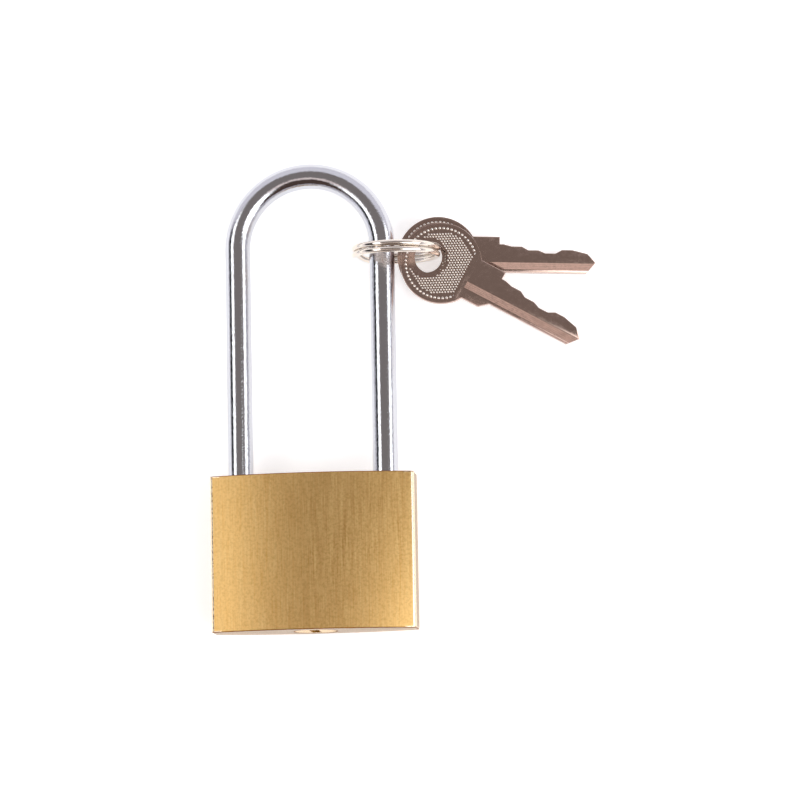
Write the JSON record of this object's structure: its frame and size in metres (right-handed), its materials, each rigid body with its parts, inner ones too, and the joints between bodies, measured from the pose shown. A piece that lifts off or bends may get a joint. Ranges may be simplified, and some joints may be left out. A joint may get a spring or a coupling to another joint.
{
  "type": "padlock",
  "caption": "Long-shackle brass padlock with a lens-shaped body, a chromed shackle, a split ring with keys, and its whole pin lock inside.",
  "frame": {"origin": "middle of the flat keyway face, halfway through the body's thickness", "axes": "+X across the body towards the ring, +Y along the shackle, +Z from the back face to the front face; it lies on its back"},
  "size_m": [0.0757, 0.0919, 0.0174],
  "materials": {
    "brushed_brass": "satin, brushed along the body's height",
    "turned_brass": "fine turned",
    "brass_pin": "ground flush",
    "pin_bronze": "fine turned",
    "chromed_steel": "bright chrome plate",
    "bright_steel": "bright",
    "spring_steel": "bright drawn wire",
    "nickel_wire": "bright nickel plate",
    "nickel_plate": "bright nickel plate over stamped brass"
  },
  "bodies": {
    "lock_body": {"body": "brushed_brass", "shackle_pin": "brass_pin", "bolt_bore_seal": "brass_pin", "plug_pin": "brass_pin", "pin_bore_seal_1": "brass_pin", "pin_bore_seal_2": "brass_pin", "pin_bore_seal_3": "brass_pin", "pin_bore_seal_4": "brass_pin", "lift_spring": "spring_steel", "bolt_spring": "spring_steel", "pin_spring_1": "spring_steel", "pin_spring_2": "spring_steel", "pin_spring_3": "spring_steel", "pin_spring_4": "spring_steel"},
    "shackle": {"shackle": "chromed_steel"},
    "bolt": {"bolt": "turned_brass"},
    "plug": {"plug": "turned_brass", "cam": "bright_steel"},
    "driver_pin_1": {"driver_pin_1": "bright_steel"},
    "key_pin_1": {"key_pin_1": "pin_bronze"},
    "driver_pin_2": {"driver_pin_2": "bright_steel"},
    "key_pin_2": {"key_pin_2": "pin_bronze"},
    "driver_pin_3": {"driver_pin_3": "bright_steel"},
    "key_pin_3": {"key_pin_3": "pin_bronze"},
    "driver_pin_4": {"driver_pin_4": "bright_steel"},
    "key_pin_4": {"key_pin_4": "pin_bronze"},
    "split_ring": {"split_ring": "nickel_wire"},
    "front_key": {"front_key": "nickel_plate"},
    "back_key": {"back_key": "nickel_plate"}
  },
  "joints": [
    {"name": "shackle_lift", "type": "slide", "parent": "lock_body", "child": "shackle", "axis": [0, 1, 0], "range_m": [0, 0.0085], "deforming": ["lift_spring"]},
    {"name": "plug_turn", "type": "hinge", "parent": "lock_body", "child": "plug", "pos_m": [0, 0, 0], "axis": [0, 1, 0], "range_deg": [-90, 0]},
    {"name": "bolt_slide", "type": "slide", "parent": "lock_body", "child": "bolt", "axis": [1, 0, 0], "range_m": [-0.00184, 0], "deforming": ["bolt_spring"]},
    {"name": "driver_pin_1_slide", "type": "slide", "parent": "lock_body", "child": "driver_pin_1", "axis": [1, 0, 0], "range_m": [-0.0008, 0], "deforming": ["pin_spring_1"]},
    {"name": "key_pin_1_slide", "type": "slide", "parent": "plug", "child": "key_pin_1", "axis": [0, 0, 1], "range_m": [-0.0008, 0]},
    {"name": "driver_pin_2_slide", "type": "slide", "parent": "lock_body", "child": "driver_pin_2", "axis": [1, 0, 0], "range_m": [-0.0008, 0], "deforming": ["pin_spring_2"]},
    {"name": "key_pin_2_slide", "type": "slide", "parent": "plug", "child": "key_pin_2", "axis": [0, 0, 1], "range_m": [-0.0008, 0]},
    {"name": "driver_pin_3_slide", "type": "slide", "parent": "lock_body", "child": "driver_pin_3", "axis": [1, 0, 0], "range_m": [-0.0008, 0], "deforming": ["pin_spring_3"]},
    {"name": "key_pin_3_slide", "type": "slide", "parent": "plug", "child": "key_pin_3", "axis": [0, 0, 1], "range_m": [-0.0008, 0]},
    {"name": "driver_pin_4_slide", "type": "slide", "parent": "lock_body", "child": "driver_pin_4", "axis": [1, 0, 0], "range_m": [-0.0008, 0], "deforming": ["pin_spring_4"]},
    {"name": "key_pin_4_slide", "type": "slide", "parent": "plug", "child": "key_pin_4", "axis": [0, 0, 1], "range_m": [-0.0008, 0]},
    {"name": "ring_swing", "type": "hinge", "parent": "shackle", "child": "split_ring", "pos_m": [0.0142, 0.0735, 0], "axis": [0, 1, 0], "range_deg": [-150, 150]},
    {"name": "front_key_swing", "type": "hinge", "parent": "split_ring", "child": "front_key", "pos_m": [0.02496, 0.0735, 0.00014], "axis": [0.1191, 0, 0.9929], "range_deg": [-20, 45]},
    {"name": "back_key_swing", "type": "hinge", "parent": "split_ring", "child": "back_key", "pos_m": [0.02421, 0.0735, -0.00158], "axis": [0.1191, 0, 0.9929], "range_deg": [-8, 60]}
  ],
  "couplings": [
    {"joint": "bolt_slide", "follows": "plug_turn", "m_per_rad": 0.0011704}
  ]
}
